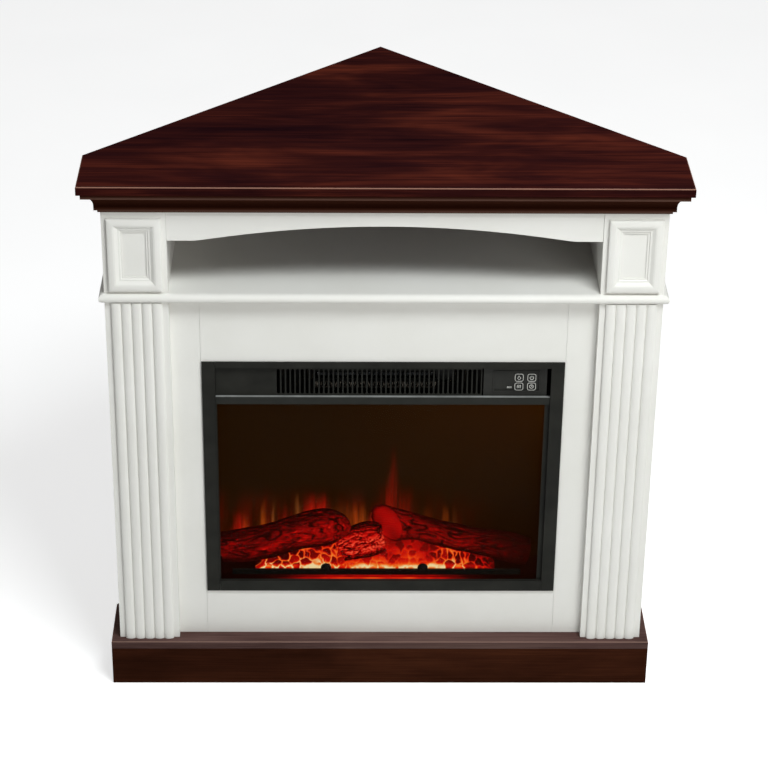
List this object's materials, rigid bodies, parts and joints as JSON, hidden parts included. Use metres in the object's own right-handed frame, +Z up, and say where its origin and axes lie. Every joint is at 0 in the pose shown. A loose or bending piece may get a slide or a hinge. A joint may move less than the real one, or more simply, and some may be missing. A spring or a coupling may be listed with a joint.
{
  "type": "corner electric fireplace",
  "caption": "Corner mantel with an open media shelf, arched valance, reeded pilasters and dark hearth around a glazed electric flame insert.",
  "frame": {"origin": "on the floor, under the middle of the outline's bounding box", "axes": "+X to the viewer's right along the front, +Y back into the corner, +Z up"},
  "size_m": [0.958, 0.603, 0.944],
  "materials": {
    "white_paint": "satin white paint on fibreboard",
    "dark_veneer": "dark red-brown veneer, lacquered",
    "dark_moulding": "dark brown stained and lacquered",
    "hardboard": "thin painted hardboard",
    "timber": "raw softwood",
    "black_steel": "fine textured black paint",
    "black_plastic": "glossy black",
    "mechanism_plastic": "moulded black",
    "button_plastic": "glossy black with pale symbols",
    "glass": "lightly smoked, polished",
    "flame_film": "smoked flame screen",
    "bright_metal": "bright aluminium",
    "galvanised": "galvanised sheet",
    "log_resin": "painted log, glowing red",
    "ember_resin": "translucent ember bed, lit from below",
    "circuit": "circuit board"
  },
  "bodies": {
    "fireplace": {"top_board": "dark_veneer", "media_shelf": "white_paint", "hearth_board": "dark_veneer", "plinth_front": "dark_veneer", "plinth_side_right": "dark_veneer", "plinth_side_left": "dark_veneer", "plinth_back_right": "timber", "plinth_back_left": "timber", "crown_front": "dark_moulding", "crown_side_right": "dark_moulding", "crown_side_left": "dark_moulding", "arched_valance": "white_paint", "capital_right": "white_paint", "capital_left": "white_paint", "capital_moulding_right": "white_paint", "capital_moulding_left": "white_paint", "compartment_side_right": "white_paint", "compartment_side_left": "white_paint", "compartment_back_right": "hardboard", "compartment_back_left": "hardboard", "pilaster_right": "white_paint", "pilaster_left": "white_paint", "side_panel_right": "white_paint", "side_panel_left": "white_paint", "return_panel_right": "white_paint", "return_panel_left": "white_paint", "fascia_panel": "white_paint", "back_rail_right": "timber", "back_rail_left": "timber", "trim_stile_right": "black_steel", "trim_stile_left": "black_steel", "trim_rail_bottom": "black_steel", "trim_rail_top": "black_steel", "grille_panel": "black_steel", "glass_header": "black_steel", "glass_pane": "glass", "firebox_housing": "black_steel", "heater_deck": "galvanised", "cord_gland": "mechanism_plastic", "heater_element": "bright_metal", "blower_housing": "galvanised", "blower_motor": "mechanism_plastic", "control_panel": "black_plastic", "control_board": "circuit", "flame_screen": "flame_film", "back_reflector": "bright_metal", "spindle_bush": "mechanism_plastic", "spindle_motor": "galvanised", "log_left": "log_resin", "log_right": "log_resin", "log_centre": "log_resin", "ember_bed": "ember_resin", "fender": "black_steel", "led_strip": "circuit"},
    "spindle": {"flame_spindle": "bright_metal"},
    "blower": {"blower_wheel": "galvanised"},
    "power_button": {"button_power": "button_plastic"},
    "timer_button": {"button_timer": "button_plastic"},
    "flame_button": {"button_flame": "button_plastic"},
    "heat_button": {"button_heat": "button_plastic"}
  },
  "joints": [
    {"name": "spindle_spin", "type": "hinge", "parent": "fireplace", "child": "spindle", "pos_m": [0, -0.1414, 0.2263], "axis": [1, 0, 0], "continuous": true},
    {"name": "blower_spin", "type": "hinge", "parent": "fireplace", "child": "blower", "pos_m": [-0.013, -0.1936, 0.5701], "axis": [1, 0, 0], "continuous": true},
    {"name": "power_press", "type": "slide", "parent": "fireplace", "child": "power_button", "axis": [0, 1, 0], "range_m": [0, 0.0008], "stiffness_N_per_m": 900, "springref_m": -0.0006},
    {"name": "timer_press", "type": "slide", "parent": "fireplace", "child": "timer_button", "axis": [0, 1, 0], "range_m": [0, 0.0008], "stiffness_N_per_m": 900, "springref_m": -0.0006},
    {"name": "flame_press", "type": "slide", "parent": "fireplace", "child": "flame_button", "axis": [0, 1, 0], "range_m": [0, 0.0008], "stiffness_N_per_m": 900, "springref_m": -0.0006},
    {"name": "heat_press", "type": "slide", "parent": "fireplace", "child": "heat_button", "axis": [0, 1, 0], "range_m": [0, 0.0008], "stiffness_N_per_m": 900, "springref_m": -0.0006}
  ]
}
